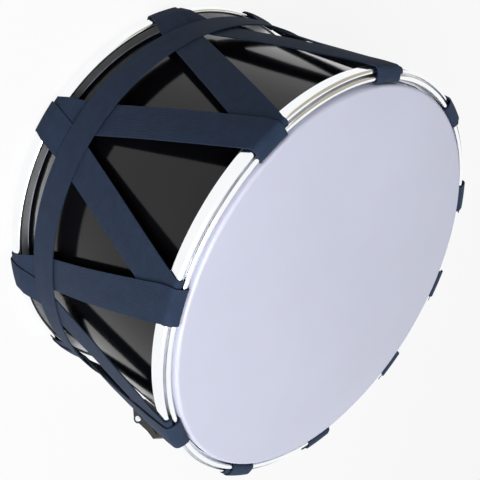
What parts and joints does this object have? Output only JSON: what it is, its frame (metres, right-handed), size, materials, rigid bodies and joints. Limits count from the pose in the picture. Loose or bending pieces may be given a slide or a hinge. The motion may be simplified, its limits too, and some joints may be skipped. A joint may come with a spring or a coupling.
{
  "type": "davul",
  "caption": "Two-headed cylindrical drum with steel hoops, laced end to end with flat webbing and held by a belly belt with cam buckles.",
  "frame": {"origin": "centre of the rear head's outer face, on the drum's axis", "axes": "+Z along the drum's axis from the rear head to the front head; -Y faces the lacing seen in the picture's middle"},
  "size_m": [0.5534, 0.5521, 0.306],
  "materials": {
    "shell_lacquer": "black high-gloss lacquer over a wooden shell",
    "bare_wood": "bare turned beech",
    "head_film": "milky polyester film",
    "hoop_steel": "polished",
    "flesh_aluminium": "mill",
    "webbing": "woven navy webbing",
    "buckle_steel": "black coating, satin",
    "small_steel": "bright plated"
  },
  "bodies": {
    "drum": {"shell": "shell_lacquer", "vent_grommet": "small_steel", "front_reinforcement_ring": "bare_wood", "rear_reinforcement_ring": "bare_wood", "front_head": "head_film", "rear_head": "head_film", "front_flesh_hoop": "flesh_aluminium", "rear_flesh_hoop": "flesh_aluminium", "front_hoop_band": "hoop_steel", "rear_hoop_band": "hoop_steel", "front_tension_ring": "hoop_steel", "rear_tension_ring": "hoop_steel", "lacing_strap_01": "webbing", "lacing_strap_02": "webbing", "lacing_strap_03": "webbing", "lacing_strap_04": "webbing", "lacing_strap_05": "webbing", "lacing_strap_06": "webbing", "lacing_strap_07": "webbing", "lacing_strap_08_feed": "webbing", "lacing_strap_08_sewn": "webbing", "lacing_strap_09": "webbing", "lacing_strap_10": "webbing", "lacing_strap_11": "webbing", "lacing_strap_12": "webbing", "lacing_strap_13": "webbing", "lacing_strap_14": "webbing", "lacing_strap_15": "webbing", "lacing_strap_16": "webbing", "lacing_strap_17": "webbing", "lacing_strap_18": "webbing", "lacing_strap_19": "webbing", "lacing_strap_20": "webbing", "belly_belt": "webbing", "lacing_buckle_frame": "buckle_steel", "lacing_buckle_pin": "small_steel", "belt_buckle_frame": "buckle_steel", "belt_buckle_pin": "small_steel"},
    "lacing_lever": {"lacing_buckle_lever": "buckle_steel"},
    "belt_lever": {"belt_buckle_lever": "buckle_steel"}
  },
  "joints": [
    {"name": "lacing_lever_hinge", "type": "hinge", "parent": "drum", "child": "lacing_lever", "pos_m": [0.27387, -0.00869, 0.1672], "axis": [0.0251, 0.9655, -0.2593], "range_deg": [0, 70], "stiffness_Nm_per_rad": 0.05, "springref_deg": -20.05},
    {"name": "belt_lever_hinge", "type": "hinge", "parent": "drum", "child": "belt_lever", "pos_m": [0.07008, 0.2662, 0.075], "axis": [0, 0, -1], "range_deg": [0, 70], "stiffness_Nm_per_rad": 0.05, "springref_deg": -20.05}
  ]
}
